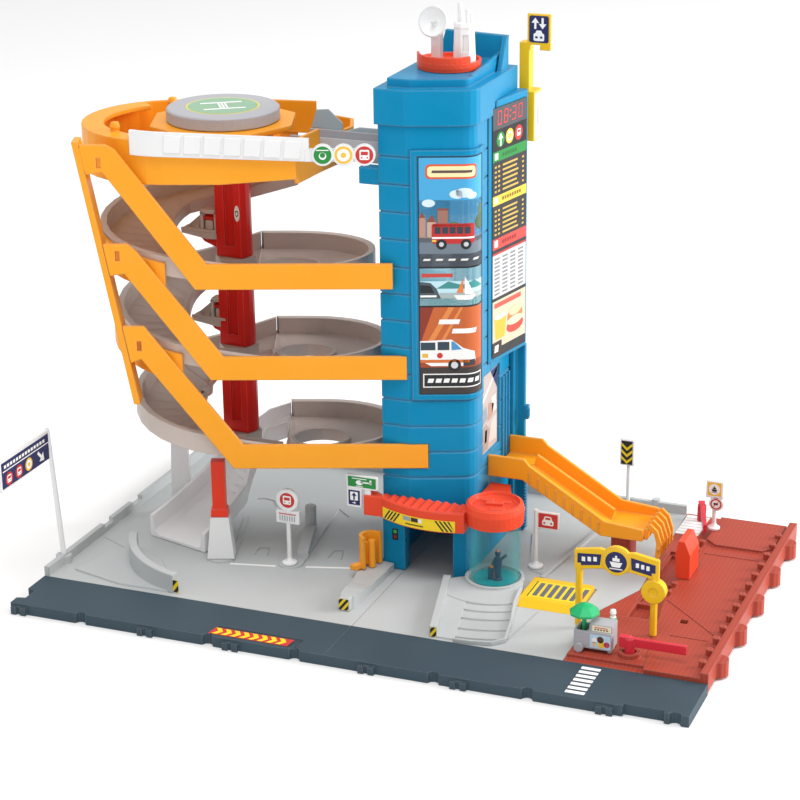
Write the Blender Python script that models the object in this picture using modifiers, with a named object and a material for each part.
"""Toy parking garage: a base of five plates, a tower with an elevator, a spiral ramp,
a ring deck with a helipad, a gangway and a small harbour with its furniture.

The base's front left corner on the table is (0, 0, 0) in the millimetre values here, with X to the
right along the front, Y to the back and Z up. place() moves it to the model's origin in metres.
"""

import math

import bmesh
import bpy
from mathutils import Matrix, Vector

MM = 0.001
GAP = 0.3                     # clearance between neighbouring pieces
ORIGIN_X, ORIGIN_Y = 240.0, 155.0

# Base
BASE_W, BASE_D, BASE_TOP = 480.0, 309.5, 7.6
ROAD_D = 46.4
SEAM_X = 234.5
SKIN, RIB = 2.4, 3.2
KERB_TOP = 14.6

# Tower
TOWER_L, TOWER_R, TOWER_BACK = 219.5, 281.2, 238.0
RIDGE = (239.5, 142.0)
FACET_ANGLE = 21.5
CORNER_R = 10.0
WALL = 3.6
TOWER_Z0, TOWER_TOP = 7.9, 328.0
CAP_TOP = 352.0
SPLIT_Y = 192.0
GROOVE_PITCH, GROOVE = 19.0, 0.8
FRAME_LEG = 7.765                      # the poster's frame past the tower's corner

# Spiral: a frame with its origin at the tower's ridge, s along the yellow bands, n to the back
BAND_ANGLE = 20.3
LEVEL_Z = (216.1, 151.3, 86.2)         # lower edge of each band
LEVEL_SHIFT = (-9.0, 0.0, 9.0)         # each level stands further right than the one above
BAND_FRONT, BAND_BACK = -0.8, 2.2
OUTER_R, WELL_R = 59.8, 22.3
BAND_CLEAR = 1.8
LANE_LEFT, LANE_RIGHT = -205.4, -14.8  # the middle level's ends along s
LANE_N = BAND_BACK + BAND_CLEAR + OUTER_R
WELL_S = LANE_RIGHT - OUTER_R
LEFT_S = LANE_LEFT + OUTER_R - WELL_S  # from the well's centre to the left turn's centre
SEAM_S = -25.0                         # from the well's centre to the seam
LANE_R = (OUTER_R + WELL_R) / 2
LIP_H, LIP_W, RIM_H, RIM_W = 11.7, 4.6, 6.5, 3.0
BANK = 6.0
PLATFORM_DROP, TURN_DROP = 8.6, 56.0
FLOOR_OVER_BAND = 2.5

# Ring deck and helipad
DECK_LEFT, DECK_R, DECK_WALL = -223.2, 61.2, 2.6
DECK_LEFT_S = DECK_LEFT + DECK_R
DECK_LOW, DECK_FLOOR, DECK_TOP = 288.0, 293.0, 318.0
PAD_S, PAD_R, PAD_TOP = -126.5, 38.8, DECK_TOP + 9.3
OCTAGON_R = 48.0

# Elevator
CAR_FLOOR = 300.0
TRAY_Y = (154.0, 189.5)

# Hinges, furniture and booth
GATE_AXIS = (429.5, 200.0, 10.9)
FRONT_BARRIER = (423.0, 63.0, 10.9)
REAR_BARRIER = (409.0, BASE_D - 9.5, 7.9)
SIDE_GATE = (216.0, 128.0, 13.6)
TURRET = (251.4, 191.6)
ROOF_TOP = 358.0
BOOTH = (303.2, 139.3)
BOOTH_R = 17.9
STAIR_TOP = 13.5
BOOTH_TOP = 56.2
PORTAL_X = (235.5, 271.5)


def place(x, y, z=0.0):
    """A point of the base's millimetre frame, in the model's metres."""
    return Vector(((x - ORIGIN_X) * MM, (y - ORIGIN_Y) * MM, z * MM))


def polar(centre, radius, degrees):
    a = math.radians(degrees)
    return centre[0] + radius * math.cos(a), centre[1] + radius * math.sin(a)


def arc(centre, radius, start, end, steps):
    """Points along an arc, both ends included."""
    return [polar(centre, radius, start + (end - start) * i / steps) for i in range(steps + 1)]


def on_band(s, n):
    """Plan position of a point s along the bands and n behind them."""
    a = math.radians(BAND_ANGLE)
    x = RIDGE[0] + s * math.cos(a) - n * math.sin(a)
    y = RIDGE[1] + s * math.sin(a) + n * math.cos(a)
    return x, y


def clear_scene():
    for obj in list(bpy.data.objects):
        bpy.data.objects.remove(obj, do_unlink=True)


def new_collection(name):
    made = bpy.data.collections.new(name)
    bpy.context.scene.collection.children.link(made)
    return made


clear_scene()
PARTS = new_collection("toy_parking_garage")
CUTTERS = new_collection("toy_parking_garage_cutters")


def material(name, rgb, roughness=0.45, metallic=0.0, alpha=1.0):
    """A Principled material, made once and shared by every piece of that plastic."""
    made = bpy.data.materials.get(name)
    if made is None:
        made = bpy.data.materials.new(name)
        made.use_nodes = True
        shader = made.node_tree.nodes["Principled BSDF"]
        shader.inputs["Base Color"].default_value = (*rgb, 1.0)
        shader.inputs["Roughness"].default_value = roughness
        shader.inputs["Metallic"].default_value = metallic
        shader.inputs["Alpha"].default_value = alpha
        made.diffuse_color = (*rgb, alpha)
    return made


ROAD = material("slate_plastic", (0.068, 0.114, 0.150))
PANEL = material("light_grey_plastic", (0.58, 0.60, 0.59))
DOCK = material("brick_red_plastic", (0.456, 0.064, 0.028))
BLUE = material("blue_plastic", (0.004, 0.275, 0.546), 0.35)
ORANGE = material("orange_yellow_plastic", (0.947, 0.381, 0.020), 0.38)
CORAL = material("coral_plastic", (0.855, 0.103, 0.037), 0.38)
BEIGE = material("warm_grey_plastic", (0.47, 0.42, 0.39), 0.45)
RED = material("red_plastic", (0.578, 0.022, 0.010), 0.35)
WHITE = material("white_plastic", (0.84, 0.84, 0.84), 0.35)
GREY = material("mid_grey_plastic", (0.30, 0.31, 0.33), 0.45)
YELLOW = material("yellow_plastic", (0.88, 0.62, 0.018), 0.38)
CRIMSON = material("crimson_plastic", (0.69, 0.014, 0.028), 0.38)
GREEN = material("green_plastic", (0.02, 0.45, 0.16), 0.38)
TEAL = material("clear_teal_plastic", (0.05, 0.42, 0.45), 0.12, 0.0, 0.45)
NAVY = material("navy_paint", (0.012, 0.02, 0.07), 0.5)


def link(name, mesh, colour=None):
    """A new object in the parts collection, or among the tools when it has no colour yet."""
    mesh.name = name
    obj = bpy.data.objects.new(name, mesh)
    PARTS.objects.link(obj)
    if colour is not None:
        paint(obj, colour)
    return obj


def paint(obj, colour):
    obj.data.materials.clear()
    obj.data.materials.append(colour)
    return obj


def from_bmesh(name, bm, colour=None):
    bmesh.ops.recalc_face_normals(bm, faces=bm.faces)
    mesh = bpy.data.meshes.new(name)
    bm.to_mesh(mesh)
    bm.free()
    return link(name, mesh, colour)


def box(name, xs, ys, zs, colour=None, turn=0.0):
    """A block between two values on each axis, turned about its own centre in plan."""
    size = [(b - a) * MM for a, b in (xs, ys, zs)]
    centre = place(sum(xs) / 2, sum(ys) / 2, sum(zs) / 2)
    matrix = Matrix.Translation(centre) @ Matrix.Rotation(math.radians(turn), 4, "Z")
    bm = bmesh.new()
    bmesh.ops.create_cube(bm, size=1.0, matrix=matrix @ Matrix.Diagonal((*size, 1.0)))
    return from_bmesh(name, bm, colour)


def rod(name, start, end, radius, colour=None, sides=12, end_radius=None):
    """A round bar, or a cone, between two points."""
    a, b = place(*start), place(*end)
    along = b - a
    turn = along.to_track_quat("Z", "Y").to_matrix().to_4x4()
    bm = bmesh.new()
    bmesh.ops.create_cone(bm, cap_ends=True, segments=sides, radius1=radius * MM,
                          radius2=(radius if end_radius is None else end_radius) * MM,
                          depth=along.length, matrix=Matrix.Translation((a + b) / 2) @ turn)
    return from_bmesh(name, bm, colour)


def upright(x, y, degrees):
    """A standing plane: local X runs along the angle in plan, local Y is up and Z faces out."""
    a = math.radians(degrees)
    matrix = Matrix(((math.cos(a), 0, math.sin(a)), (math.sin(a), 0, -math.cos(a)), (0, 1, 0))).to_4x4()
    matrix.translation = place(x, y)
    return matrix


def flat():
    return Matrix.Translation(place(0, 0))


def slab(name, loops, low, high, colour=None, plane=None):
    """A flat outline, with its holes as further loops, filled and extruded from low to high."""
    if not isinstance(loops[0][0], (tuple, list)):
        loops = [loops]
    curve = bpy.data.curves.new(name, "CURVE")
    curve.dimensions = "2D"
    curve.fill_mode = "BOTH"
    curve.extrude = (high - low) / 2 * MM
    for loop in loops:
        spline = curve.splines.new("POLY")
        spline.points.add(len(loop) - 1)
        for point, (u, v) in zip(spline.points, loop):
            point.co = (u * MM, v * MM, 0, 1)
        spline.use_cyclic_u = True
    drawn = bpy.data.objects.new(name, curve)
    PARTS.objects.link(drawn)
    graph = bpy.context.evaluated_depsgraph_get()
    mesh = bpy.data.meshes.new_from_object(drawn.evaluated_get(graph))
    bpy.data.objects.remove(drawn, do_unlink=True)
    bm = bmesh.new()
    bm.from_mesh(mesh)
    bpy.data.meshes.remove(mesh)
    bmesh.ops.remove_doubles(bm, verts=bm.verts, dist=1e-6)
    lift = Matrix.Translation((0, 0, (low + high) / 2 * MM))
    bmesh.ops.transform(bm, matrix=(plane or flat()) @ lift, verts=bm.verts)
    return from_bmesh(name, bm, colour)


def turned(name, profile, x, y, colour=None, steps=24):
    """A profile of (radius, height) turned about a vertical axis with a Screw modifier."""
    bm = bmesh.new()
    verts = [bm.verts.new((r * MM, 0, z * MM)) for r, z in profile]
    for a, b in zip(verts, verts[1:]):
        bm.edges.new((a, b))
    if profile[0][0] > 0 and profile[-1][0] > 0:
        bm.edges.new((verts[-1], verts[0]))
    mesh = bpy.data.meshes.new(name)
    bm.to_mesh(mesh)
    bm.free()
    obj = link(name, mesh)
    obj.location = place(x, y)
    screw = obj.modifiers.new("turn", "SCREW")
    screw.steps = screw.render_steps = steps
    screw.use_merge_vertices = True
    screw.merge_threshold = 0.00001
    screw.use_smooth_shade = False
    graph = bpy.context.evaluated_depsgraph_get()
    solid = bpy.data.meshes.new_from_object(obj.evaluated_get(graph))
    bpy.data.objects.remove(obj, do_unlink=True)
    bm = bmesh.new()
    bm.from_mesh(solid)
    bpy.data.meshes.remove(solid)
    bmesh.ops.transform(bm, matrix=Matrix.Translation(place(x, y)), verts=bm.verts)
    return from_bmesh(name, bm, colour)


def loft(name, sections, colour=None, closed=False):
    """Skin between equal rings of points in millimetres, with end caps unless it closes on itself."""
    bm = bmesh.new()
    rings = [[bm.verts.new(place(*point)) for point in ring] for ring in sections]
    pairs = list(zip(rings, rings[1:]))
    if closed:
        pairs.append((rings[-1], rings[0]))
    for a, b in pairs:
        for i in range(len(a)):
            j = (i + 1) % len(a)
            bm.faces.new((a[i], a[j], b[j], b[i]))
    if not closed:
        bm.faces.new(rings[0][::-1])
        bm.faces.new(rings[-1])
    return from_bmesh(name, bm, colour)


def combine(target, tools, operation):
    """Boolean modifiers on the target, with the tools kept among the cutters."""
    for tool in tools:
        step = target.modifiers.new(operation.lower(), "BOOLEAN")
        step.operation = operation
        step.solver = "EXACT"
        step.object = tool
        PARTS.objects.unlink(tool)
        CUTTERS.objects.link(tool)
        tool.hide_render = True
        tool.display_type = "WIRE"
    return target


def join(target, *tools):
    return combine(target, tools, "UNION")


def cut(target, *tools):
    return combine(target, tools, "DIFFERENCE")


def pivot(obj, x, y, z):
    """Moves a piece's origin to its joint's axis, leaving the piece where it stands."""
    point = place(x, y, z)
    obj.data.transform(Matrix.Translation(-point))
    obj.location = point
    return obj


def sign_post(name, x, y, foot, top, colour, radius=1.6, flange=5.5):
    """A post with a flanged foot, turned in one profile."""
    profile = [(0, foot), (flange, foot), (flange, foot + 1.4), (radius + 1.2, foot + 2.4),
               (radius, foot + 4.5), (radius, top), (0, top)]
    return turned(name, profile, x, y, colour, 12)


# Base plates

def pockets(target, xs, ys):
    """Hollows the plate from below, leaving ribs between the values given."""
    n = 0
    for x0, x1 in zip(xs, xs[1:]):
        for y0, y1 in zip(ys, ys[1:]):
            n += 1
            hollow = box(f"{target.name}_pocket_{n}", (x0 + RIB / 2, x1 - RIB / 2),
                         (y0 + RIB / 2, y1 - RIB / 2), (-1, BASE_TOP - SKIN))
            cut(target, hollow)


NOTCH_X = (54.1, 149.8, 213.0, 310.7, 374.4, 471.0)
CLIP_X = (6.8, 103.8, 167.0, 264.5, 328.2, 425.6)


def road(name, x0, x1):
    plate = box(name, (x0, x1), (0, ROAD_D - GAP / 2), (0, BASE_TOP), ROAD)
    for i, x in enumerate(v for v in NOTCH_X if x0 < v < x1):
        cut(plate, rod(f"{name}_notch_{i}", (x, -0.5, -1), (x, -0.5, 9), 4.0, None, 10))
    for i, x in enumerate(v for v in CLIP_X if x0 < v < x1):
        hook = slab(f"{name}_clip_{i}", [(x - 5.5, 1), (x - 5.5, -2.6), (x - 1.6, -2.6), (x - 1.6, -1),
                                         (x + 1.6, -1), (x + 1.6, -2.6), (x + 5.5, -2.6), (x + 5.5, 1)], 0,
                    5.4)
        join(plate, hook)
    return plate


def road_left():
    plate = road("front_road_left", 0, SEAM_X - GAP / 2)
    pockets(plate, (6, 60, 116, 172, 230), (6, 40))
    jigsaw = slab("road_left_notch", [(-1, 24), (6, 22), (6, 10), (-1, 8)], -1, 9)
    cut(plate, jigsaw)
    insert = slab("road_left_insert", [(150, 3.0), (150, 16), (213, 16), (213, 3.0)], BASE_TOP - 0.9, 9)
    cut(plate, insert)


def road_right():
    plate = road("front_road_right", SEAM_X + GAP / 2, BASE_W)
    pockets(plate, (240, 290, 340, 390, 430), (6, 40))
    slot = box("road_right_slot", (437, 464), (-2, 3.2), (-1, 9))
    cut(plate, slot)


def panel_left():
    edge = SEAM_X - GAP / 2
    plate = box("base_panel_left", (0, edge), (ROAD_D + GAP / 2, BASE_D), (0, BASE_TOP), PANEL)
    pockets(plate, (5, 82, 158, 229), (52, 136, 220, 304))
    kerb = slab("panel_left_kerb", [(0, ROAD_D + GAP / 2), (3.8, ROAD_D + GAP / 2), (3.8, BASE_D - 3.8),
                                    (edge, BASE_D - 3.8), (edge, BASE_D), (0, BASE_D)], 5, KERB_TOP)
    socket = rod("panel_left_socket", (1.2, 72, 1), (1.2, 72, KERB_TOP - 1.2), 5.6, None, 16)
    join(plate, kerb, socket)
    for i, (y0, y1) in enumerate(((128, 141), (172, 186))):
        cut(plate, box(f"panel_left_step_{i}", (-1, 5), (y0, y1), (11.5, 16)))
    cut(plate, rod("panel_left_sign_hole", (1.2, 72, 9), (1.2, 72, 16), 2.2, None, 12))
    rise = slab("panel_left_apron", [(16, 62), (56, 51), (94, 51), (97, 56), (66, 98), (40, 112),
                                     (22, 100)],
                6, BASE_TOP + 1.2)
    island = slab("panel_left_island", arc((155, 124), 9, 180, 360, 8) + arc((140, 222), 9, 0, 180, 8),
                  6, BASE_TOP + 1.2)
    foot = slab("panel_left_foot", arc((103, 118), 11, 0, 337.5, 15), 6, BASE_TOP + 1.0)
    guard = loft("panel_left_guard", guard_sections())
    kerb_right = loft("panel_left_lane_kerb", kerb_sections())
    join(plate, rise, island, foot, guard, kerb_right)
    bench = slab("panel_left_bench", [(156.3, 132), (163.5, 135.5), (149.5, 180), (142, 177)], 6, 14)
    pump = slab("panel_left_pump", arc((144, 184.5), 4.2, 0, 324, 9), 6, 27)
    join(plate, bench, pump)


def guard_sections():
    """The curved guard rail at the slide's mouth, sinking from the slide's wall to its front end."""
    rings = []
    centre, radius = (111.5, 126.0), 74.0
    for i in range(11):
        t = i / 10
        a = 200 + 58.8 * t
        top = BASE_TOP + 17 - 10.5 * t
        outer, inner = polar(centre, radius + 1.9, a), polar(centre, radius - 1.9, a)
        rings.append([(*inner, 6), (*inner, top), (*outer, top), (*outer, 6)])
    return rings


def kerb_sections():
    """The lane wedge left of the tower: a raised nose in front that widens to the back."""
    rings = []
    for y, left, right, top in ((67, 217.5, 222.5, 11), (71, 215.5, 226, 17), (84, 213.5, 226.5, 16.5),
                                (100, 211.5, 227, 13), (139.5, 205.5, 228, 13), (141, 205, 217.5, 13),
                                (178, 199, 217.5, 12.5)):
        rings.append([(left, y, 6), (right, y, 6), (right, y, top), (left, y, top)])
    return rings


def stairs():
    """Curved steps round the booth, with a ramp along their left wall."""
    radii = (86, 75, 61.7, 51.4, 42.3)
    profile = [(0, 5.0)]
    below = 5.0
    for i, radius in enumerate(radii):
        top = BASE_TOP + (STAIR_TOP - BASE_TOP) * (i + 1) / len(radii)
        profile += [(radius, below), (radius, top)]
        below = top
    profile.append((0, below))
    disc = turned("stair_disc", profile, *BOOTH, None, 72)
    wedge = slab("stair_wedge", [(273, 128), (292, 49), (318, 47.2), (334, 50), (340.5, 57), (336, 81),
                                 (329.5, 106),
                                 (327, 130), (320, 152), (309, 158), (283.7, 158), (283.7, 136)], 4, 22)
    combine(disc, [wedge], "INTERSECT")
    ramp = loft("stair_ramp", [[(left, y, 6), (right, y, 6), (right, y, top), (left, y, top)]
                               for y, left, right, top in ((49, 292.5, 307, 8.8),
                                                           (100, 280, 297, STAIR_TOP - 0.2),
                                                           (128, 274, 290, STAIR_TOP - 0.2))])
    wall = slab("stair_left_wall", [(269.5, 128), (274.5, 129), (294.5, 49), (289.8, 48)], 6,
                STAIR_TOP + 2.2)
    return join(disc, ramp, wall)


def panel_right():
    edge = SEAM_X + GAP / 2
    outline = [(edge, ROAD_D + GAP / 2), (383, ROAD_D + GAP / 2), (383.4, 127), (399.7, 167),
               (395.7, BASE_D), (edge, BASE_D)]
    plate = slab("base_panel_right", outline, 0, BASE_TOP, PANEL)
    pockets(plate, (245, 290, 334, 378), (52, 110, 168, 236, 304))
    wall = slab("panel_right_wall", [(edge, BASE_D - 3.8), (395.8, BASE_D - 3.8), (395.7, BASE_D),
                                     (edge, BASE_D)],
                5, KERB_TOP)
    bump = rod("panel_right_bump", (372, BASE_D - 1.9, 10), (372, BASE_D - 1.9, 16.6), 3.2, None, 12)
    join(plate, wall, bump, stairs())
    ring = turned("panel_right_booth_ring", [(BOOTH_R + 0.6, STAIR_TOP - 1), (BOOTH_R + 2.8, STAIR_TOP - 1),
                                             (BOOTH_R + 2.8, STAIR_TOP + 1.8),
                                             (BOOTH_R + 0.6, STAIR_TOP + 1.8)],
                  *BOOTH, None, 28)
    lane = slab("panel_right_lane_kerb", [(329.5, 160), (346, 286), (349, 286), (332.5, 160)],
                6, 9.8)
    join(plate, ring, lane)
    cut(plate, box("panel_right_hatch_seat", (325, 372), (113, 158), (BASE_TOP - 1.2, 12)),
        box("panel_right_tower_clear", (219, TOWER_R + 0.9), (141, 239), (BASE_TOP + 0.1, 25)))


def dock():
    """The brick-red harbour: a front deck, a channel and a pontoon with rows of bollards."""
    front = ROAD_D + GAP / 2
    right, rear = BASE_W - 2, BASE_D - 5.5
    outline = [(383.4, front), (right, front), (right, rear), (396.1, BASE_D), (400.1, 167), (383.8, 127)]
    plate = slab("dock_base", outline, 0, BASE_TOP, DOCK)
    pockets(plate, (388, 430, right - 6), (52, 116))
    pockets(plate, (424, 448, right - 6), (128, 190, 248, rear - 4))
    pontoon = slab("dock_pontoon", [(437, front), (right + 1, front), (right + 1, rear - 4),
                                    (424, rear - 4),
                                    (421, 156)], 5, 10.6)
    rail = box("dock_rail", (BASE_W - 5.5, BASE_W), (front, rear - 1), (2, 14.5))
    deck = slab("dock_raised_deck", [(384, 52), (438, 52), (427, 118), (386, 118)], 6, 10.2)
    pad = slab("dock_pad", [(424, rear - 46), (432, rear - 54), (466, rear - 54), (473, rear - 46),
                            (473, rear - 4), (424, rear - 4)], 6, 12.5)
    join(plate, pontoon, rail, deck, pad)
    cut(plate, box("dock_basin", (404, 418), (124, 236), (2.4, 16)),
        box("dock_basin_step", (402.5, 419.5), (150, 238), (5.2, 16)),
        box("dock_square_hole", (440.5, 446), (120, 126), (4, 16)))
    for i, y in enumerate((148, 184)):
        join(plate, box(f"dock_bulkhead_{i}", (403, 419), (y, y + 3), (2, 6.5)))
    for i in range(5):
        y = 74 + (rear - 82) * i / 4.5
        join(plate, rod(f"dock_fender_{i}", (BASE_W, y, 1.5), (BASE_W, y, 12.5), 6.5, None, 12))
    for i, y in enumerate((160, 174, 222, 236, 250)):
        join(plate, rod(f"dock_bollard_{i}", (422.6, y, 9), (422.6, y, 14.2), 2.2, None, 8))
    for i in range(13):
        y = 62 + (rear - 90) * i / 12
        join(plate, rod(f"dock_rail_bollard_{i}", (BASE_W - 8, y, 9), (BASE_W - 8, y, 15.6), 2.6, None, 8))
    x, y, z = FRONT_BARRIER
    cup = turned("dock_barrier_cup", [(4.6, 8), (7.4, 8), (7.4, z + 2.6), (4.6, z + 2.6)], x, y, None, 16)
    return join(plate, cup)


# Tower

def tower_outline(inset):
    """The tower's plan: a left facet, a ridge, a slanting facet, a round corner and a flat side."""
    a = math.radians(FACET_ANGLE)
    right = TOWER_R - inset
    left = TOWER_L + inset
    front = RIDGE[1] + inset
    ridge_x = RIDGE[0] + inset * math.tan(a / 2)
    centre = (TOWER_R - CORNER_R,
              RIDGE[1] + (TOWER_R - CORNER_R - RIDGE[0]) * math.tan(a) + CORNER_R / math.cos(a))
    corner = arc(centre, CORNER_R - inset, -90 + FACET_ANGLE, 0, 3)
    back = TOWER_BACK - inset
    return [(left, front), (ridge_x, front)] + corner + [(right, back), (left, back)]


def tower_tube(name, inset_out, inset_in, low, high, colour=None):
    return slab(name, [tower_outline(inset_out), tower_outline(inset_in)], low, high, colour)


def split(target, keep_front):
    """Keeps the half of a tower ring on one side of its seam."""
    ys = (SPLIT_Y - GAP / 2, 300) if keep_front else (100, SPLIT_Y + GAP / 2)
    return cut(target, box(f"{target.name}_seam", (200, 300), ys, (-5, 400)))


def grooved_tube(name, low, high):
    """The tower's tube, its outside drawn in at each storey's groove."""
    levels = [(low, 0.0)]
    z = 78.0
    while z < high - 10:
        levels += [(z, 0.0), (z + 0.3, GROOVE), (z + 1.2, GROOVE), (z + 1.5, 0.0)]
        z += GROOVE_PITCH
    levels.append((high, 0.0))
    solid = loft(name, [[(x, y, z) for x, y in tower_outline(inset)] for z, inset in levels], BLUE)
    return cut(solid, slab(f"{name}_shaft", tower_outline(WALL), low - 1, high + 1))


def tower_front():
    shell = grooved_tube("tower_front_shell", TOWER_Z0, TOWER_TOP - GAP)
    split(shell, True)
    portal = box("tower_portal", (TOWER_L - 0.4, TOWER_R + 0.4), (141.5, 168), (TOWER_Z0, 60))
    cut(portal, box("tower_portal_room", PORTAL_X, (139, 170), (5, 46)),
        box("tower_portal_shaft", (TOWER_L + WALL, TOWER_R - WALL), (150, 170), (5, 70)))
    join(shell, portal)
    cut(shell, box("tower_portal_door", PORTAL_X, (139, 163), (5, 46)))
    cut(shell, tray_door("tower_front_tray_door"))
    slot = [on_band(s, n) for s, n in ((-8, -4), (BAND_RIGHT[2] + GAP, -4),
                                       (BAND_RIGHT[2] + GAP, BAND_BACK + GAP),
                                       (-8, BAND_BACK + GAP))]
    cut(shell, slab("tower_band_slot", slot, LEVEL_Z[2] - GAP, BAND_TOP[2] + GAP))
    cut(shell, side_recess("tower_front_recess"))
    join(shell, box("tower_tray_bracket", (205, 220.5), (143.2, 152.5), (286, CAR_FLOOR - 2.4 - GAP)))


def tray_door(name):
    """The doorway in the left wall where the bridge tray meets the elevator."""
    return box(name, (216, 224), (153, 190.5), (CAR_FLOOR + 0.5, 326))


def side_recess(name):
    """The shallow picture recess in the right wall, beside the gangway's landing."""
    return box(name, (TOWER_R - WALL / 2, TOWER_R + 2), (176, 211), (86, 146))


def tower_rear():
    shell = grooved_tube("tower_rear_shell", TOWER_Z0, TOWER_TOP - GAP)
    split(shell, False)
    cut(shell, side_recess("tower_rear_recess"))
    cut(shell, box("tower_rear_slot", (264.8, 273.2), (230, 242), (9, 322)))
    for i in range(4):
        rib = box(f"tower_rear_rib_{i}", (TOWER_R - 1, TOWER_R + 1.6), (214.5 + 6 * i, 217 + 6 * i),
                  (60, 134))
        join(shell, rib)


def tower_cap():
    """The roof: a skirt, a closed plateau with a rising kerb, and a parapet along the back."""
    cap = tower_tube("tower_cap", -2.0, 1.6, TOWER_TOP, CAP_TOP, BLUE)
    ledge = tower_tube("cap_ledge", 0.5, 7.0, CAP_TOP - 3, CAP_TOP)
    plateau = slab("cap_plateau", tower_outline(5.0), CAP_TOP - 2, ROOF_TOP)
    hollow = slab("cap_hollow", tower_outline(7.5), CAP_TOP - 4, ROOF_TOP - 2.4)
    join(cap, ledge, plateau)
    cut(cap, hollow)
    x, y = TOWER_R - 7.6, 226.0
    kerb = loft("cap_kerb", [[(x, yy, ROOF_TOP - 1), (x + 2.4, yy, ROOF_TOP - 1), (x + 2.4, yy, top),
                              (x, yy, top)]
                             for yy, top in ((170, ROOF_TOP + 0.6), (y + 1, ROOF_TOP + 5))])
    parapet = slab("cap_parapet", [(231, CAP_TOP + 2), (279, CAP_TOP + 2), (280.6, 374.5), (236, 376),
                                   (233.5, 367)],
                   -(y + 3.4), -y, None, upright(0, 0, 0))
    gusset = slab("cap_gusset", [(213, CAP_TOP - 1), (y + 3, CAP_TOP - 1), (y + 3, 374), (y - 1, 374)],
                  277.4 - ORIGIN_X, 280.4 - ORIGIN_X, None, upright(ORIGIN_X, 0, 90))
    return join(cap, kerb, parapet, gusset)


def display_panel():
    """A wedge on the right wall, flush in front and standing out at its back edge."""
    x, front, back = TOWER_R + GAP, 184.6, TOWER_BACK
    loop = [(x, front), (x + 10.4, back - 1.8), (x + 9.0, back), (x, back)]
    panel = slab("display_panel", loop, 152.6, 336.6, BLUE)
    return cut(panel, slab("panel_cap_clear", tower_outline(-2.0 - GAP), TOWER_TOP - GAP, CAP_TOP + 1))


def frame_path(inset, margin):
    """The poster's path in plan: along the slanting facet, round the corner and onto the right wall."""
    outline = tower_outline(inset)
    x = outline[1][0] + 3.0 + margin
    start = (x, outline[1][1] + (3.0 + margin) * math.tan(math.radians(FACET_ANGLE)))
    end = (TOWER_R - inset, outline[5][1] + FRAME_LEG - margin)
    return [start] + outline[2:6] + [end]


def poster_frame():
    """A raised frame that wraps the slanting facet and the round corner, with a seat for the poster."""
    frame = slab("poster_frame", frame_path(-1.6, 0) + frame_path(-GAP, 0)[::-1], 136.5, 312, BLUE)
    seat = slab("poster_seat", frame_path(-3.0, 3.4) + frame_path(-1.1, 3.4)[::-1], 140.5, 308)
    return cut(frame, seat)


def canopy():
    """The ribbed coral canopy over the portal, moulded with the booth's round cap."""
    left, right, back, top, waves = 209.6, 286.0, 141.0, 66.0, 12
    front = arc((262, 190), 72, 236, 290, 8)
    plate = slab("canopy", [(left, back)] + [(left, 129.5)] + front + [(right, back)], 51.5, top, CORAL)
    inner = [(left + 2.6, back + 2)] + arc((262, 190), 69.2, 237, 289, 8) + [(right - 3, back + 2)]
    under = slab("canopy_under", inner, 50, top - 4.2)
    wave = []
    for i in range(4 * waves + 1):
        x = right - (right - left) * i / (4 * waves)
        wave.append((x, top - 1.5 + 0.8 * math.cos(math.pi * i / 2)))
    trench = slab("canopy_ribs", [(left, 70), (right, 70)] + wave, -(back + 3), -115, None,
                  upright(0, 0, 0))
    combine(trench, [slab("canopy_rib_plan", inner, 40, 75)], "INTERSECT")
    cut(plate, under, trench)
    cap_low, cap_top = BOOTH_TOP + GAP, 71.5
    cap = turned("canopy_booth_cap", [(0, cap_low + 4), (14.5, cap_low + 4), (14.5, cap_low),
                                      (20.0, cap_low),
                                      (20.8, 66), (19.6, cap_top - 1), (17.6, cap_top), (16.4, cap_top - 3),
                                      (0, cap_top - 3)], *BOOTH, None, 36)
    join(plate, cap)
    for i, (dx, dy, half) in enumerate(((0, 0, 6), (-7, 5, 4), (6, 6, 3.5), (4, -7, 5))):
        rib = box(f"canopy_rib_{i}", (BOOTH[0] + dx - half, BOOTH[0] + dx + half),
                  (BOOTH[1] + dy - 2.4, BOOTH[1] + dy + 2.4), (67, 70.6 - 0.5 * i), None, 12)
        join(plate, rib)
    rear = slab("canopy_rear", [(282.5, 152), (305, 152), (304, 172), (297, 190), (282.5, 190)], 55, 63)
    join(plate, rear)
    glass = rod("canopy_booth_clear", (*BOOTH, 40), (*BOOTH, cap_low), BOOTH_R + GAP, None, 40)
    return cut(plate, glass, box("canopy_tower_clear", (205, TOWER_R + 0.4 + GAP), (back + 0.2, 240),
                                 (40, 80)))


def booth():
    """The clear round booth with its glazing bars."""
    low = STAIR_TOP + GAP
    wall = turned("booth_glass", [(BOOTH_R - 1.5, low), (BOOTH_R, low), (BOOTH_R, BOOTH_TOP),
                                  (BOOTH_R - 1.5, BOOTH_TOP)],
                  *BOOTH, TEAL, 40)
    for i in range(6):
        a = 60 * i
        x, y = polar(BOOTH, BOOTH_R - 0.4, a)
        bar = box(f"booth_bar_{i}", (x - 0.6, x + 0.6), (y - 0.6, y + 0.6), (low, BOOTH_TOP), None, a)
        join(wall, bar)
    return wall


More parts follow.
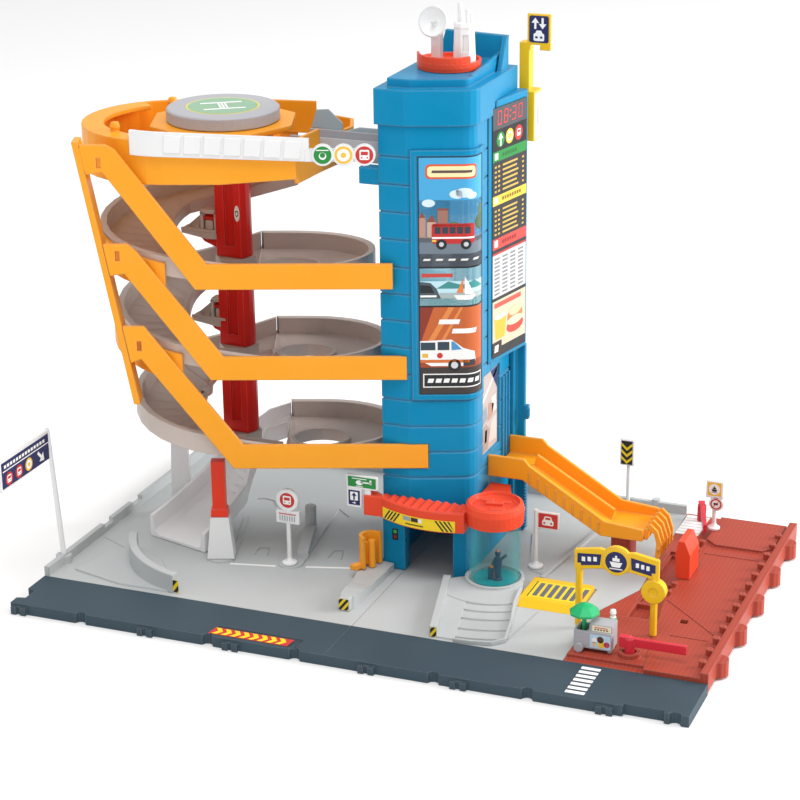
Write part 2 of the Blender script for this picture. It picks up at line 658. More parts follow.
def traveller():
    """A small standing figure with a suitcase, one arm raised."""
    x, y = BOOTH[0] + 3.2, BOOTH[1] - 2.5
    z = STAIR_TOP + GAP
    body = turned("traveller_figure", [(0, z), (3.6, z), (3.6, z + 1), (2.2, z + 1.6), (2.6, z + 9),
                                       (3.1, z + 15),
                                       (2.0, z + 17), (1.4, z + 17.8), (2.2, z + 19.6), (1.8, z + 21.6),
                                       (0, z + 22.4)],
                  x, y, NAVY, 12)
    arm = rod("traveller_arm", (x + 2, y, z + 15.4), (x + 6.6, y - 1, z + 20), 1.0, None, 8)
    other = rod("traveller_other_arm", (x - 2, y, z + 15.4), (x - 4.4, y - 1, z + 9.0), 1.0, None, 8)
    case = box("traveller_case", (x - 6.6, x - 2.2), (y - 2.4, y + 0.6), (z, z + 9.2))
    join(body, arm, other, case)


def side_gate():
    """The curved gate left of the portal, with its small lever."""
    x, y, z = SIDE_GATE
    path = arc((x, y), 9.0, 60, 250, 10)
    inner = arc((x, y), 6.6, 250, 60, 10)
    gate = slab("portal_side_gate", path + inner, z + 0.4, 38, ORANGE)
    hub = rod("side_gate_hub", (x, y, z), (x, y, 34), 2.6, None, 10)
    arm = box("side_gate_arm", (x - 8, x + 1), (y - 1, y + 1), (z + 1.4, 32))
    lever = box("side_gate_lever", (x - 11, x - 6), (y - 12, y - 4), (z + 0.4, z + 3.9), None, -30)
    join(gate, hub, arm, lever)
    pivot(gate, *SIDE_GATE)


def elevator():
    """The car with its side walls, and the yellow handle that reaches out behind the tower."""
    x0, x1 = 226.4, 273.0
    floor = box("elevator_car", (x0, x1), (160, 232), (CAR_FLOOR - 3, CAR_FLOOR), GREY)
    left = box("car_left_wall", (x0, x0 + 2), (192, 232), (CAR_FLOOR - 1, CAR_FLOOR + 20))
    right = box("car_right_wall", (x1 - 2, x1), (172, 232), (CAR_FLOOR - 1, CAR_FLOOR + 20))
    back = box("car_back_wall", (x0, x1), (230, 232), (CAR_FLOOR - 1, CAR_FLOOR + 12))
    nose = slab("car_nose", [(230, 150.8), (254, 151.5), (266, 160.5), (230, 160.5)], CAR_FLOOR - 3,
                CAR_FLOOR)
    arm = box("car_arm", (266.2, 271.8), (231, TOWER_BACK + 3.5), (CAR_FLOOR - 3, CAR_FLOOR + 14))
    join(floor, left, right, back, nose, arm)
    y = TOWER_BACK + 3.5 + GAP
    bar = box("elevator_handle", (283.4, 290.2), (y + 1.6, y + 11), (CAR_FLOOR - 1, 367.2), YELLOW)
    bracket = box("handle_bracket", (264, 286), (y, y + 4), (CAR_FLOOR - 3, CAR_FLOOR + 14))
    grip = box("handle_grip", (282, 294.4), (y + 0.6, y + 16), (CAR_FLOOR - 1, 333.5))
    sign = box("handle_sign", (289.0, 305.3), (y + 1.6, y + 4.2), (371.2, 387))
    foot = box("handle_sign_foot", (289.0, 305.3), (y + 1.6, y + 4.2), (362.5, 372))
    join(bar, bracket, grip, sign, foot)
    cut(bar, box("handle_sign_notch", (291, 298), (y - 1, y + 6), (361, 366.0)),
        box("handle_finger_slot", (280, 291.5), (y + 5.5, y + 13.5), (304, 330)))


def turret():
    """The coral ring on the roof, which turns with the radar dish and the control tower."""
    z = ROOF_TOP + GAP
    x, y = TURRET
    ring = turned("turret_ring", [(0, z), (21.3, z), (21.7, z + 5.6), (19.9, z + 5.6), (19.5, z + 3),
                                  (0, z + 3)],
                  x, y, CORAL, 40)
    join(ring, slab("turret_wall", arc(TURRET, 21.6, 195, 332, 14) + arc(TURRET, 20.0, 332, 195, 14), z + 2,
                    z + 10.2))
    pivot(ring, *TURRET, z)
    floor = z + 3 + GAP
    px, py = x - 7.0, y - 4.0
    post = box("radar_dish", (px - 3.4, px + 3.4), (py - 2.4, py + 2.4), (floor, z + 24), WHITE)
    tilt = Matrix.Translation(place(px - 0.6, py - 4.2, z + 31.2)) @ Matrix.Rotation(math.radians(-4), 4,
                                                                                     "Z")
    tilt = tilt @ Matrix.Rotation(math.radians(74), 4, "X")
    dish = turned("dish_bowl", [(0, -3.4), (4.4, -2.8), (8.6, -0.8), (10.6, 1.2), (9.8, 2.0), (7.8, 0.6),
                                (4, -1.2),
                                (0, -1.8)], ORIGIN_X, ORIGIN_Y, None, 28)
    dish.data.transform(tilt)
    horn = rod("dish_horn", (ORIGIN_X, ORIGIN_Y, -2.4), (ORIGIN_X, ORIGIN_Y, 4), 1.6, None, 8, 0.8)
    horn.data.transform(tilt)
    neck = rod("dish_neck", (px, py, z + 20), (px - 0.3, py - 1.6, z + 31), 3.0, None, 8)
    join(post, neck, dish, horn)
    pivot(post, *TURRET, z)
    cx, cy = x + 10.9, y
    tower = turned("control_tower", [(0, floor), (8.2, floor), (7.2, z + 27), (7.6, z + 28),
                                     (7.2, z + 30.6), (0, z + 30.6)],
                   cx, cy, WHITE, 8)
    for i, (dx, dy, radius, top) in enumerate(((-3.2, 0.5, 1.7, 43.5), (2.6, -0.5, 1.5, 39.5),
                                               (4.4, 1.6, 0.8, 36))):
        mast = rod(f"control_mast_{i}", (cx + dx, cy + dy, z + 29), (cx + dx, cy + dy, z + top), radius,
                   None, 8)
        join(tower, mast)
    cut(tower, box("control_window", (cx + 1.0, cx + 5.2), (cy - 12, cy - 5.2), (z + 12, z + 23)))
    pivot(tower, *TURRET, z)


# Deck and helipad

def stadium(s_left, s_right, radius, steps=11):
    """Two half rounds joined by straight sides, around the lane's middle line."""
    right = [on_band(s_right + radius * math.cos(a), LANE_N + radius * math.sin(a))
             for a in (math.radians(-90 + 180 * i / steps) for i in range(steps + 1))]
    left = [on_band(s_left + radius * math.cos(a), LANE_N + radius * math.sin(a))
            for a in (math.radians(90 + 180 * i / steps) for i in range(steps + 1))]
    return right + left


def deck_outline(wall):
    """The deck's plan, drawn in by a wall: round at the left, a chamfer and a tip at the right."""
    radius = DECK_R - wall
    right = [(-73.2 - 0.5 * wall, LANE_N - radius), (-57.3 - wall, 38.1), (-38.0 - wall, 76 + 0.3 * wall),
             (-38.8 - wall, 99.0), (-64.0 - wall, 119.0 - 0.6 * wall), (-98.0, LANE_N + radius)]
    left = [(DECK_LEFT_S + radius * math.cos(a), LANE_N + radius * math.sin(a))
            for a in (math.radians(90 + 180 * i / 18) for i in range(19))]
    return [on_band(*point) for point in right + left]


def octagon(radius):
    """The eight-sided plate under the helipad, with a flat to the front."""
    centre = on_band(PAD_S, LANE_N)
    return [polar(centre, radius / math.cos(math.pi / 8), BAND_ANGLE + 22.5 + 45 * i) for i in range(8)]


def ring_deck():
    """The deck: a wall round a lane, a wide rim at the left, and the raised plate of the helipad."""
    deck = slab("ring_deck", deck_outline(0), DECK_LOW, DECK_TOP, ORANGE)
    lane = slab("deck_lane", deck_outline(DECK_WALL), DECK_FLOOR, DECK_TOP + 1)
    below = slab("deck_underside", deck_outline(DECK_WALL), DECK_LOW - 1, DECK_FLOOR - 2.2)
    cut(deck, lane, below)
    tip = slab("deck_tip_low", [on_band(*c) for c in ((-66, 44), (-30, 44), (-30, 130), (-66, 130))],
               DECK_TOP - 8, DECK_TOP + 5)
    slope = loft("deck_front_slope", [[(*on_band(s, n), z) for s, n,
                                       z in ((-124, ns, DECK_LOW - 2), (-124, ns, DECK_LOW),
                                                                          (-50, ns, DECK_FLOOR + 0.3),
                                             (-50, ns, DECK_LOW - 2))]
                                      for ns in (0, 5.2)])
    cut(deck, tip, slope)
    core = slab("deck_core", stadium(PAD_S - 14, PAD_S + 14, 20, 8), DECK_LOW + 1, DECK_TOP - 2)
    plate = slab("deck_octagon", octagon(OCTAGON_R), DECK_TOP - 3.2, DECK_TOP)
    join(deck, core, plate)
    hollow = slab("deck_core_hollow", stadium(PAD_S - 14, PAD_S + 14, 17.5, 8), DECK_LOW - 1, DECK_TOP - 5)
    cut(deck, hollow)
    cut(deck, deck_drop())
    cut(deck, box("deck_tray_gate", (150 - GAP, 210), (TRAY_Y[0] - GAP, TRAY_Y[1] + GAP),
                  (CAR_FLOOR - 2.4 - GAP, 325)))
    rim = [on_band(DECK_LEFT_S + r * math.cos(a), LANE_N + r * math.sin(a))
           for r, angles in ((DECK_R - 1.3, range(115, 246, 10)), (DECK_R - 15, range(245, 114, -10)))
           for a in (math.radians(v) for v in angles)]
    join(deck, slab("deck_rim", rim, DECK_TOP - 3, DECK_TOP))
    for i, (s, n) in enumerate(((-196, 31), (-166, 105))):
        x, y = on_band(s, n)
        join(deck, turned(f"deck_bollard_{i}", [(0, DECK_FLOOR - 1), (3.4, DECK_FLOOR - 1),
                                                (3.0, DECK_TOP + 1),
                                                (3.6, DECK_TOP + 3), (2.6, DECK_TOP + 6),
                                                (0, DECK_TOP + 6.6)],
                          x, y, None, 10))
    hub = turned("deck_pad_bore", [(0, DECK_TOP - 6), (3.2, DECK_TOP - 6), (3.2, DECK_TOP + 1),
                                   (0, DECK_TOP + 1)],
                 *on_band(PAD_S, LANE_N), None, 20)
    return cut(deck, hub)


def deck_drop():
    """The opening where the lane leaves the deck for the first turn of the spiral."""
    corners = [(-92, LANE_N + 24), (-58, LANE_N + 24), (-58, LANE_N + 58), (-92, LANE_N + 58)]
    return slab("deck_drop", [on_band(*c) for c in corners], DECK_LOW - 1, DECK_FLOOR + 2)


def helipad():
    x, y = on_band(PAD_S, LANE_N)
    z = DECK_TOP + GAP
    disc = turned("helipad_disc", [(0, z - 5.6), (3.0, z - 5.6), (3.0, z), (PAD_R - 0.6, z),
                                   (PAD_R, z + 0.8),
                                   (PAD_R, PAD_TOP - 1), (PAD_R - 1, PAD_TOP), (0, PAD_TOP)], x, y, GREY,
                  40)
    pivot(disc, x, y, z)


def banner():
    """The long bare banner on the deck's front, sloping to the right, with a tail of three round badges."""
    steps, near, far = 8, DECK_R + GAP, DECK_R + 3.2
    stations = [(DECK_LEFT_S, -109 + 19 * i / steps) for i in range(steps + 1)] + [(-64.0, -90)]
    sections = []
    first = on_band(DECK_LEFT_S + far * math.cos(math.radians(-109)), 0)[0]
    for s, a in stations:
        rad = math.radians(a)
        ring = []
        for radius in (far, near):
            x, y = on_band(s + radius * math.cos(rad), LANE_N + radius * math.sin(rad))
            t = (x - first) / (on_band(-64.0, 0)[0] - first)
            low, top = 308.6 - 4.2 * t, 325.2 - 5.4 * t
            ring += [(x, y, low), (x, y, top)] if radius == far else [(x, y, top), (x, y, low)]
        sections.append(ring)
    plate = loft("name_banner", sections, WHITE)
    front = upright(*on_band(0, 0), BAND_ANGLE)
    join(plate, slab("banner_tail", [(-67, 304.4), (-22, 304.4), (-22, 313), (-67, 313)], -1.6, 0.9, None,
                     front))
    for i, s in enumerate((-55, -41.2, -27.4)):
        join(plate, slab(f"banner_badge_{i}", arc((s, 309.3), 7.4, 0, 342, 19), 0.2, 2.6, None, front))
    return plate


def tray():
    """The grey bridge from the elevator's doorway down to the ring deck."""
    y0, y1 = TRAY_Y
    x0, x1 = 150.0, TOWER_L - GAP
    floor = box("bridge_tray", (x0, x1), (y0, y1), (CAR_FLOOR - 2.4, CAR_FLOOR), GREY)
    near = box("tray_near_wall", (x0, x1), (y0, y0 + 2), (CAR_FLOOR - 2.4, CAR_FLOOR + 12))
    far = box("tray_far_wall", (x0, x1), (y1 - 2, y1), (CAR_FLOOR - 2.4, CAR_FLOOR + 9))
    join(floor, near, far)
    return floor


# Spiral

def floor_height(level, n):
    """Outer floor height of a platform, falling from the front to the back."""
    return LEVEL_Z[level] + FLOOR_OVER_BAND - PLATFORM_DROP * (n - LANE_N + OUTER_R) / (2 * OUTER_R)


def platform(level):
    """A half-round platform with a well, its floor banked and tilted to the back."""
    s_c = WELL_S + LEVEL_SHIFT[level]
    sections = []
    corner = math.degrees(math.atan2(OUTER_R, -SEAM_S))
    angles = [-90 + 180 * i / 16 for i in range(17)]
    angles = [-(180 - corner)] + angles + [180 - corner]
    rings = [(a, True) for a in angles] + [(a, False) for a in (180 - corner + 0.01, 140, 180, 220,
                                                                180 + corner - 0.01)]
    for a, walled in rings:
        rad = math.radians(a)
        reach = OUTER_R if abs(a) <= 90 else min(OUTER_R / abs(math.sin(rad) or 1e-9),
                                                 SEAM_S / math.cos(rad))
        lip = LIP_H if walled else 0.8
        width = LIP_W * reach / OUTER_R if walled else 1.0
        def at(radius, height, rad=rad):
            n = LANE_N + radius * math.sin(rad)
            lane = abs(radius * math.sin(rad)) if math.cos(rad) < 0 else radius
            bank = BANK * (max(WELL_R, min(OUTER_R, lane)) - OUTER_R) / (OUTER_R - WELL_R)
            return (*on_band(s_c + radius * math.cos(rad), n), floor_height(level, n) + bank + height)
        sections.append([at(reach, -2.2), at(reach, lip), at(reach - width, lip),
                         at(reach - width - 0.6, 0),
                         at(WELL_R, 0), at(WELL_R - 0.5, RIM_H), at(WELL_R - RIM_W, RIM_H),
                         at(WELL_R - RIM_W, -2.2)])
    return loft(f"platform_{level + 1}", sections, BEIGE, True)


def trough_path(level):
    """Stations along the left half turn: centre of turn, direction outwards, and the drop so far."""
    s_left = WELL_S + LEFT_S + LEVEL_SHIFT[level]
    s_front = WELL_S + SEAM_S + LEVEL_SHIFT[level] - GAP
    s_back = WELL_S + SEAM_S + LEVEL_SHIFT[level - 1] - GAP if level else -78.0
    stations = [(s, -90) for s in (s_front, (s_front + s_left) / 2)]
    stations += [(s_left, -90 - 180 * i / 14) for i in range(15)]
    stations += [((s_left * 2 + s_back) / 3, -270), ((s_left + s_back * 2) / 3, -270), (s_back, -270)]
    return stations


def trough(level):
    """A banked lane round the left half turn, climbing from this level to the one above."""
    stations = trough_path(level)
    lengths = [0.0]
    for (s0, a0), (s1, a1) in zip(stations, stations[1:]):
        lengths.append(lengths[-1] + abs(s1 - s0) + math.radians(abs(a1 - a0)) * 41)
    sections = []
    for (s, a), run in zip(stations, lengths):
        rad = math.radians(a)
        t = run / lengths[-1]
        outer_z = LEVEL_Z[level] + FLOOR_OVER_BAND + TURN_DROP * t ** 1.25
        turn = max(0.0, -math.cos(rad))
        inner_r = WELL_R - 5.5 * turn
        rim = RIM_W + 3.5 * turn
        def at(radius, height):
            return (*on_band(s + radius * math.cos(rad), LANE_N + radius * math.sin(rad)), height)
        z_in = outer_z - BANK
        sections.append([at(OUTER_R, outer_z - 2.2), at(OUTER_R, outer_z + LIP_H),
                         at(OUTER_R - LIP_W, outer_z + LIP_H),
                         at(OUTER_R - LIP_W - 0.6, outer_z), at(inner_r, z_in),
                         at(inner_r - 0.6, z_in + RIM_H - 1),
                         at(inner_r - 0.5 * rim, z_in + RIM_H), at(inner_r - rim, z_in + RIM_H - 1),
                         at(inner_r - rim, z_in - 2.2)])
    return loft(f"trough_{level + 1}", sections, BEIGE)


BAND_RIGHT = (-10.0, -1.0, 13.0)
BEND_TOP = (-135.0, -126.2, -114.9)
BEND_LOW = (-143.2, -135.1, -121.8)
ARM_TOP = ((-192.4, 312.6), (-181.6, 242.6), (-173.3, 181.7))
COLLAR_LEFT = ((-212.0, 316.0), (-204.0, 248.0), (-195.0, 190.0))
COLLAR_LOW = (296.0, 226.0, 164.0)
COLLAR_HOLE = ((-203.5, 303.9), (-194.5, 239.8), (-183.1, 176.0))
BAND_TOP = (233.7, 167.9, 103.5)
SPINE_TOP, SPINE_LOW = (-220.7, 318.0), (-188.8, 133.9)


def spine_s(z):
    """The slanting spine's front edge at a height."""
    t = (z - SPINE_LOW[1]) / (SPINE_TOP[1] - SPINE_LOW[1])
    return SPINE_LOW[0] + t * (SPINE_TOP[0] - SPINE_LOW[0])


def band(level):
    """A yellow band: level along the front, then up to the left, ending in a collar with a square hole."""
    low, top = LEVEL_Z[level], BAND_TOP[level]
    right = BAND_RIGHT[level]
    arm_s, arm_z = ARM_TOP[level]
    left_z = COLLAR_LEFT[level][1]
    low_z = COLLAR_LOW[level]
    loop = [(right, low), (right, top), (BEND_TOP[level], top), (arm_s, arm_z), (arm_s - 6, left_z),
            (spine_s(left_z) + 4.6, left_z), (spine_s(low_z) + 4.6, low_z), (arm_s - 8.8, arm_z - 15),
            (BEND_LOW[level], low)]
    hole_s, hole_z = COLLAR_HOLE[level]
    hole = [(hole_s - 1.5, hole_z - 3.5), (hole_s + 1.5, hole_z - 3.5), (hole_s + 1.5, hole_z + 3.5),
            (hole_s - 1.5, hole_z + 3.5)]
    plane = upright(*on_band(0, 0), BAND_ANGLE)
    piece = slab(f"band_{level + 1}", [loop, hole], -BAND_BACK, -BAND_FRONT, ORANGE, plane)
    if level < 2:
        pad = [on_band(right - 12, 0), on_band(right - 1, 0), (on_band(right - 1, 0)[0], RIDGE[1] + 2),
               (on_band(right - 12, 0)[0], RIDGE[1] + 2)]
        join(piece, slab(f"band_{level + 1}_pad", pad, low + 2, top - 2))
        cut(piece, slab(f"band_{level + 1}_tower_clear", tower_outline(-GAP), low - 5, top + 5))
    if level:
        join(piece, collar_wrap(level))
    return piece


def collar_wrap(level):
    """A curved wall that hugs the outside of the turn above, from the spine to the band's arm."""
    above = level - 1
    centre_s = WELL_S + LEFT_S + LEVEL_SHIFT[above]
    sections = []
    for i in range(9):
        a = math.radians(-98 - 80 * i / 8)
        t = 0.2 + 0.3 * i / 8
        top = LEVEL_Z[above] + FLOOR_OVER_BAND + LIP_H - 4 + TURN_DROP * t ** 1.25
        ring = []
        for radius, z in ((OUTER_R + 0.4, top - 20), (OUTER_R + 0.4, top), (OUTER_R + 3.2, top),
                          (OUTER_R + 3.2, top - 20)):
            ring.append((*on_band(centre_s + radius * math.cos(a), LANE_N + radius * math.sin(a)), z))
        sections.append(ring)
    return loft(f"band_{level + 1}_wrap", sections)


def spine(top_band):
    """The slanting wall that ties the three collars together, moulded with the top band."""
    width = 4.2
    loop = [SPINE_TOP, (SPINE_TOP[0] + width, SPINE_TOP[1]), (SPINE_LOW[0] + width, SPINE_LOW[1]),
            SPINE_LOW]
    plane = upright(*on_band(0, 0), BAND_ANGLE)
    wall = slab("spine", loop, -14.5, -BAND_FRONT, None, plane)
    z_low, z_top = COLLAR_LOW[0] + 2, COLLAR_LEFT[0][1] - 2
    bridge = slab("spine_bridge", [(spine_s(z_top) + 3, z_top), (spine_s(z_top) + 6, z_top),
                                   (spine_s(z_low) + 6, z_low),
                                   (spine_s(z_low) + 3, z_low)], -BAND_BACK + 0.2, -BAND_FRONT - 0.2, None,
                  plane)
    return join(top_band, wall, bridge)


COLUMN_S = -121.8
COLUMN_SPANS = (("column_upper", 222.0, DECK_TOP - 5 - GAP), ("column_middle", 157.0, 213.0),
                ("column_lower", 92.0, 148.0))


def column():
    """The red column in the spiral's middle: three lengths with a rounded back and a flat front."""
    x, y = on_band(COLUMN_S, LANE_N)
    outline = arc((x, y), 12.2, -20, 180, 10) + [(x - 11, y - 7), (x + 9, y - 9)]
    for name, low, high in COLUMN_SPANS:
        shaft = slab(name, outline, low, high, RED)
        cut(shaft, box(f"{name}_recess", (x - 4, x + 4), (y - 12, y - 5.5), (low + 8, high - 8)))
    for i, (low, high) in enumerate(((213.3, 221.7), (148.3, 156.7), (84.0, 91.7))):
        slab(f"column_collar_{i + 1}", arc((x, y), 14.5, 10, 310, 5), low, high, BEIGE)


def chute_stations(start_s, n):
    """Plan points, headings and half widths down the chute: straight, a left turn, straight again."""
    x, y = on_band(start_s, n)
    heading, turn, radius = 180 + BAND_ANGLE, 53.4, 40.0
    points = [(x, y, heading, 18.7)]
    x, y = polar((x, y), 16.0, heading)
    for i in range(9):
        points.append((x, y, heading, 18.8 + 3.0 * i / 8))
        x, y = polar((x, y), radius * math.radians(turn / 8), heading + turn / 16)
        heading += turn / 8
    heading -= turn / 8
    x, y = points[-1][:2]
    for i in range(1, 6):
        points.append((*polar((x, y), 10.4 * i, heading), heading, 21.8 + 5.2 * i / 5))
    return points


def slide():
    """The chute from the lowest platform to the ground, with rolled side walls."""
    level = len(LEVEL_Z) - 1
    start_s = WELL_S + LEVEL_SHIFT[level] + SEAM_S - GAP
    points = chute_stations(start_s, LANE_N + LANE_R)
    z_top, z_low = floor_height(level, LANE_N + OUTER_R) - 2.4, BASE_TOP + 2.6
    sections = []
    for i, (x, y, heading, half) in enumerate(points):
        t = i / (len(points) - 1)
        z = z_low + (z_top - z_low) * (1 - t) ** 1.15
        lift = LIP_H + 2.5 * t
        def at(across, height, x=x, y=y, z=z, heading=heading):
            return (*polar((x, y), across, heading + 90), z + height)
        sections.append([at(-half, -2.2), at(-half, lift), at(3 - half, lift), at(4.4 - half, 3.2),
                         at(8.5 - half, 0),
                         at(half - 7, 0), at(half - 4, 2.4), at(half - 3, lift - 2), at(half, lift - 2),
                         at(half, -2.2)])
    return loft("slide", sections, WHITE)


# Furniture

GANGWAY_END, GANGWAY_LOW = 395.4, 38.0


def gangway():
    """The orange gangway: an upper landing, a double channel down and a lower landing."""
    y0, y1 = 186.0, 230.0
    x0, x1, x2, x3 = TOWER_R + GAP, 308.0, 366.0, GANGWAY_END
    z_up, z_down = 72.0, GANGWAY_LOW
    side = [(x0, z_up), (x1, z_up), (x2, z_down), (x3, z_down), (x3, z_down - 2.4), (x2 - 1, z_down - 2.4),
            (x1 - 1, z_up - 2.4), (x0, z_up - 2.4)]
    plane = upright(0, 0, 0)
    deck = slab("gangway", side, -y1, -y0, ORANGE, plane)
    wall = [(x0, z_up - 2.4), (x1 - 1, z_up - 2.4), (x2 - 1, z_down - 2.4), (x3, z_down - 2.4),
            (x3, z_down + 6),
            (x2 + 2, z_down + 8.5), (x1 + 4, z_up + 8.5), (x1, z_up + 13), (x0, z_up + 13)]
    middle = [(x1 - 1, z_up - 2.4), (x2 - 1, z_down - 2.4), (x2 + 2, z_down + 8), (x1 + 2, z_up + 8)]
    for i, (y, loop) in enumerate(((y0, wall), ((y0 + y1) / 2 + 2, middle), (y1 - 2.4, wall))):
        join(deck, slab(f"gangway_wall_{i}", loop, -(y + 2.4), -y, None, plane))
    for i in range(9):
        x = x1 + 4 + 6.4 * i
        z = z_up - 1 - (x - x1) * (z_up - z_down) / (x2 - x1)
        join(deck, box(f"gangway_panel_{i}", (x, x + 1.2), (y0 - 0.7, y0 + 1), (z - 0.4, z + 7.2)))
    return cut(deck, box("gangway_panel_clear", (TOWER_R, TOWER_R + 2.0), (213, 235), (60, 90)))


def gangway_column():
    """The dark red pillar under the gangway's lower landing."""
    return box("gangway_column", (368, 382), (203, 219), (BASE_TOP + GAP, GANGWAY_LOW - 2.4 - GAP), DOCK)


def claw():
    """The ribbed cover that hangs on the gangway's end."""
    x, z = GANGWAY_END + GAP, GANGWAY_LOW + 3.5
    bar = box("gangway_claw", (x, x + 2.4), (189.5, 226), (z - 5.6, z + 2.4), ORANGE)
    outer = [(x + 0.6, z + 4), (x + 4, z + 5.6), (x + 9, z + 1), (x + 12, z - 8), (x + 12, z - 18),
             (x + 8, z - 21)]
    inner = [(x + 8, z - 16), (x + 8.6, z - 8), (x + 6.6, z - 1), (x + 2.4, z + 1), (x + 0.6, z)]
    for i in range(5):
        y = 191 + 7.6 * i
        join(bar, slab(f"claw_rib_{i}", outer + inner, -(y + 2.2), -y, None, upright(0, 0, 0)))
    return join(bar, rod("claw_bar", (x + 10.2, 190, z - 12), (x + 10.2, 226, z - 12), 1.3, None, 6))


def boat_gate():
    """The orange-red flap that closes the harbour's channel and tips over onto the pontoon."""
    x, z = GATE_AXIS[0], GATE_AXIS[2]
    side = [(x - 10, z), (x, z), (x, z + 18), (x - 4, z + 28), (x - 8.5, z + 28), (x - 10.5, z + 18)]
    flap = slab("boat_gate", side, -212, -188, CORAL, upright(0, 0, 0))
    cut(flap, box("boat_gate_recess", (x - 8, x - 2.6), (190.5, 209.5), (z - 3, z + 24)))
    pivot(flap, *GATE_AXIS)


def hatch():
    """The yellow plate with a sloping front edge."""
    side = [(113.5, BASE_TOP - 0.9), (156.5, BASE_TOP - 0.9), (156.5, BASE_TOP + 3.2),
            (121, BASE_TOP + 3.2)]
    sections = [[(x, y, z) for y, z in side] for x in (327.0, 370.5)]
    return loft("hatch_plate", sections, YELLOW)


def arch():
    """The harbour arch: two posts, a curved sign and a life ring."""
    y = 96.0
    plane = upright(0, y, 0)
    x0, x1 = 378.0, 429.5
    sign = [(x0 - 3, 51), (x0 + 15, 54), (x0 + 25, 54), (x1 - 15, 54), (x1 + 3, 51), (x1 + 3, 65),
            (x1 - 14, 68)] + arc(((x0 + x1) / 2, 60.5), 10.5, 40, 140, 6) + [(x0 + 14, 68), (x0 - 3, 65)]
    board = slab("seaport_arch", sign, -1.6, 1.6, YELLOW, plane)
    left = rod("arch_post_left", (x0, y, 10.5), (x0, y, 56), 2.4, None, 10)
    right = rod("arch_post_right", (x1, y, 10.9), (x1, y, 56), 2.4, None, 10)
    ring = rod("arch_ring", (x1, y - 3.2, 43), (x1, y + 3.2, 43), 8.2, None, 20)
    badge = rod("arch_badge", ((x0 + x1) / 2, y - 2.4, 60.5), ((x0 + x1) / 2, y + 2.0, 60.5), 9.6, None, 24)
    join(board, left, right, ring, badge)
    cut(board, rod("arch_ring_hole", (x1, y - 9, 43), (x1, y - 2.6, 43), 3.2, None, 12))


def cart():
    """The snack cart with its wheels, umbrella and vendor."""
    x0, x1, y0, y1 = 386.5, 412.0, 58.5, 72.0
    z = 10.2 + 2.8
    body = box("cart_body", (x0, x1), (y0, y1), (z, z + 12), GREY)
    join(body, box("cart_counter", (x0 + 10, x1), (y0 + 1.5, y1), (z + 11, z + 17)))
    cut(body, box("cart_well", (x0 + 1.4, x0 + 8.6), (y0 + 1.4, y1 - 1.4), (z + 4, z + 18)))
    for i, (ya, yb) in enumerate(((y0 - 3.0, y0 - GAP), (y1 + GAP, y1 + 3.0))):
        wheel = rod(f"cart_wheel_{i + 1}", (x0 + 4, ya, z + 0.6), (x0 + 4, yb, z + 0.6), 3.1, GREY, 16)
        pivot(wheel, x0 + 4, (ya + yb) / 2, z + 0.6)
    stand = box("cart_leg", (x1 - 3, x1 - 1), (y0 + 2, y1 - 2), (10.5, z + 1))
    join(body, stand)
    x, y = x0 + 5.0, (y0 + y1) / 2
    shade = turned("cart_umbrella", [(0, z + 4.3), (1.6, z + 4.3), (1.6, z + 21), (10.2, z + 21.5),
                                     (10.2, z + 23),
                                     (5.5, z + 27), (1.2, z + 29), (0, z + 29.6)], x, y, GREEN, 8)
    vx, vy = x1 - 4.2, y1 + 3.6
    vendor = turned("cart_vendor", [(0, 10.5), (3.0, 10.5), (2.6, 20), (3.2, 27), (2.0, 30), (1.4, 30.8),
                                    (2.2, 32.6),
                                    (1.8, 34.8), (0, 35.6)], vx, vy, WHITE, 12)
    return body, shade, vendor


def barrier(name, hinge, direction):
    """A barrier post with its flat arm pointing along a direction in plan."""
    x, y, z = hinge
    post = turned(name, [(0, z), (3.4, z), (3.4, z + 12), (0, z + 12)], x, y, CRIMSON, 14)
    dx, dy = polar((0, 0), 1.0, direction)
    arm = box(f"{name}_arm", (x + 19 * dx - 19, x + 19 * dx + 19), (y + 19 * dy - 1.4, y + 19 * dy + 1.4),
              (z + 6.5, z + 12.5), None, direction)
    tail = box(f"{name}_tail", (x - 3 * dx - 3.6, x - 3 * dx + 3.6), (y - 3 * dy - 2.4, y - 3 * dy + 2.4),
               (z + 5.5, z + 13), None, direction)
    join(post, arm, tail)
    pivot(post, x, y, z)


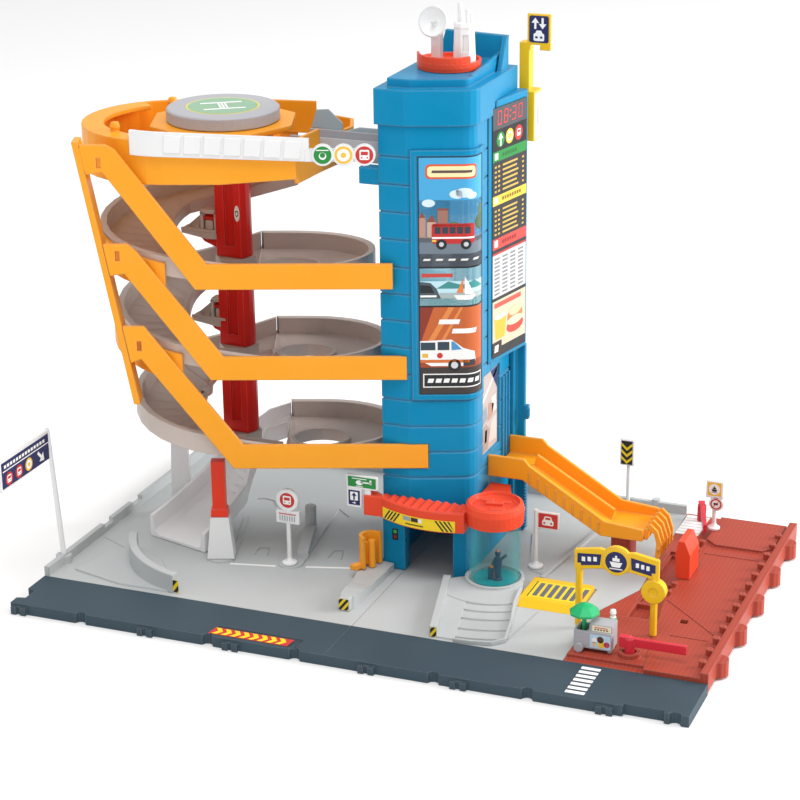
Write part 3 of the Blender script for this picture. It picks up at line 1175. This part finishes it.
def signs():
    """The white sign posts with their boards."""
    lean = 6.5
    sections = [[(*polar((1.2 - lean * t, 72), radius, 30 * i), z) for i in range(12)]
                for z, t, radius in ((KERB_TOP - 5, 0, 1.9), (KERB_TOP, 0, 1.9), (107, 1, 1.7),
                                     (109, 1.02, 1.2))]
    left = loft("left_sign", sections, WHITE)
    top = 1.2 - lean
    join(left, slab("left_sign_board", [(-66, 85.5), (0, 86.8), (0, 107.6), (-66, 107.6)], -1.2, 1.2, None,
                    upright(top, 72, 90)))
    bus = sign_post("bus_stop_sign", 155, 122, BASE_TOP + 1.2 + GAP, 52, WHITE)
    join(bus, rod("bus_disc", (155, 120.6, 58), (155, 123.4, 58), 8.4, None, 24),
         box("bus_table", (146.2, 163.8), (120.8, 123.2), (40.3, 50)))
    taxi = sign_post("taxi_sign", 320, 179, BASE_TOP + GAP, 52, WHITE)
    join(taxi, box("taxi_flag", (320, 337), (178, 180), (38, 51)))
    y = BASE_D - 9.5
    chevron = sign_post("chevron_sign", 352, y, BASE_TOP + GAP, 50, WHITE)
    join(chevron, box("chevron_board", (345.5, 356.5), (y - 1.1, y + 1.1), (44.2, 64.9)))
    y = BASE_D - 32.5
    boat = sign_post("boat_sign", 424, y, 12.5 + GAP, 40, WHITE, 1.6, 4.6)
    join(boat, box("boat_board", (417.6, 430.4), (y - 1, y + 1), (37, 50.7)),
         rod("boat_disc", (425.5, y - 1.1, 33), (425.5, y + 1.1, 33), 5.6, None, 18))


def tapered(name, centre, low, high, size_low, size_high, colour):
    """A rectangular foot that narrows upwards, turned to the spiral's angle."""
    a = math.radians(BAND_ANGLE)
    sections = []
    for z, (w, d) in ((low, size_low), (high, size_high)):
        corners = ((-w / 2, -d / 2), (w / 2, -d / 2), (w / 2, d / 2), (-w / 2, d / 2))
        sections.append([(centre[0] + u * math.cos(a) - v * math.sin(a),
                          centre[1] + u * math.sin(a) + v * math.cos(a), z)
                         for u, v in corners])
    return loft(name, sections, colour)


def posts():
    """The posts that carry the lowest trough: white feet, and a red post with a collar in front."""
    front, rear = (103.0, 119.0), (41.0, 180.0)
    shoulder = 40.0
    foot = tapered("front_post", front, BASE_TOP + 1.0 + GAP, shoulder, (19.5, 15), (13, 10.5), WHITE)
    red = tapered("front_post_top", front, shoulder + GAP, 82.0, (9.6, 7.6), (9.6, 7.6), RED)
    join(red, tapered("post_collar", front, shoulder + GAP, shoulder + 6, (12.6, 10), (11.6, 9), None))
    back = tapered("rear_post", rear, BASE_TOP + GAP, 112, (15, 12), (9, 8), WHITE)
    return foot, red, back


def build():
    road_left()
    road_right()
    panel_left()
    panel_right()
    dock()
    tower_front()
    tower_rear()
    tower_cap()
    display_panel()
    poster_frame()
    canopy()
    booth()
    traveller()
    side_gate()
    elevator()
    turret()
    ring_deck()
    helipad()
    banner()
    tray()
    for level in range(3):
        platform(level)
        trough(level)
        piece = band(level)
        if level == 0:
            spine(piece)
    column()
    slide()
    gangway()
    gangway_column()
    claw()
    boat_gate()
    hatch()
    arch()
    cart()
    barrier("front_barrier", FRONT_BARRIER, 0)
    barrier("rear_barrier", REAR_BARRIER, -72)
    signs()
    posts()


build()
